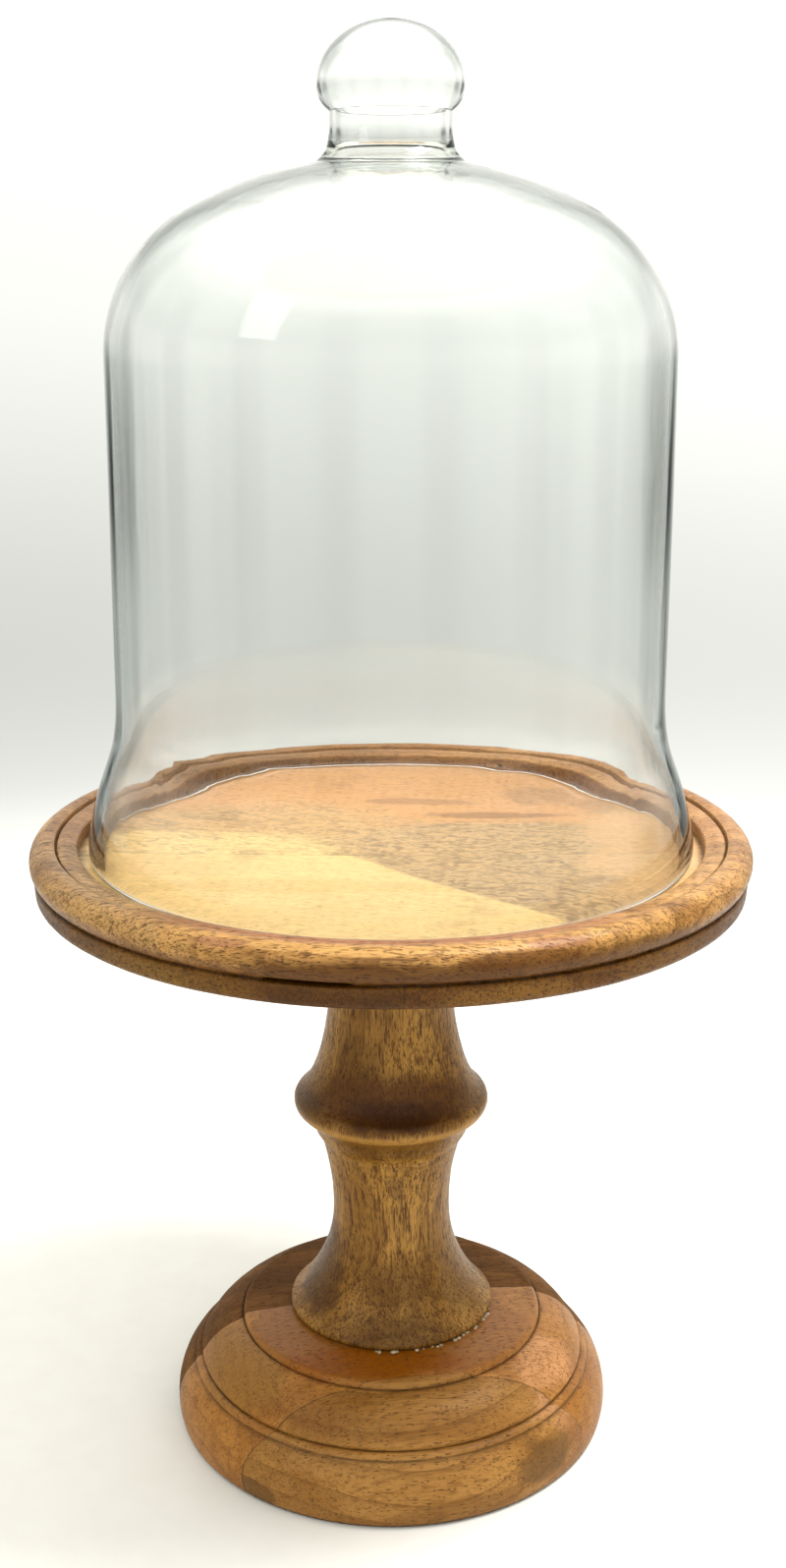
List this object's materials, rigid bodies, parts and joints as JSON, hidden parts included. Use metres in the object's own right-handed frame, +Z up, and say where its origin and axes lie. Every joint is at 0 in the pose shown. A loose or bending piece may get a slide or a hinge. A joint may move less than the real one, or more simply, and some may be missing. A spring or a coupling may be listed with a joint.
{
  "type": "bell jar dome",
  "caption": "Clear blown-glass cloche with a round hollow knob, standing loose in the shallow recess of a turned wooden pedestal plate with a beaded column and a stepped round foot.",
  "frame": {"origin": "centre of the underside of the felt, on the tabletop", "axes": "+Z up along the turning axis of the stand and the dome; +Y from the side seen in the picture to the back"},
  "size_m": [0.2996, 0.2996, 0.5878],
  "materials": {
    "plate_wood": "open-grain satin oil",
    "column_wood": "open-grain satin oil",
    "base_wood": "open-grain satin oil",
    "glass": "clear blown glass",
    "felt": "pressed felt",
    "zinc_steel": "zinc plated",
    "brass": "machined"
  },
  "bodies": {
    "stand": {"plate_top_board_front": "plate_wood", "plate_top_board_back": "plate_wood", "plate_under_board_left": "plate_wood", "plate_under_board_right": "plate_wood", "stem_column": "column_wood", "base_board_front": "base_wood", "base_board_middle": "base_wood", "base_board_back": "base_wood", "stem_hanger_bolt": "zinc_steel", "base_lag_screw": "zinc_steel", "base_washer": "zinc_steel", "plate_threaded_insert": "brass", "felt_pad": "felt"},
    "dome": {"glass_dome": "glass"}
  },
  "joints": [
    {"name": "dome_lift", "type": "slide", "parent": "stand", "child": "dome", "axis": [0, 0, 1], "range_m": [0, 0.3]}
  ]
}
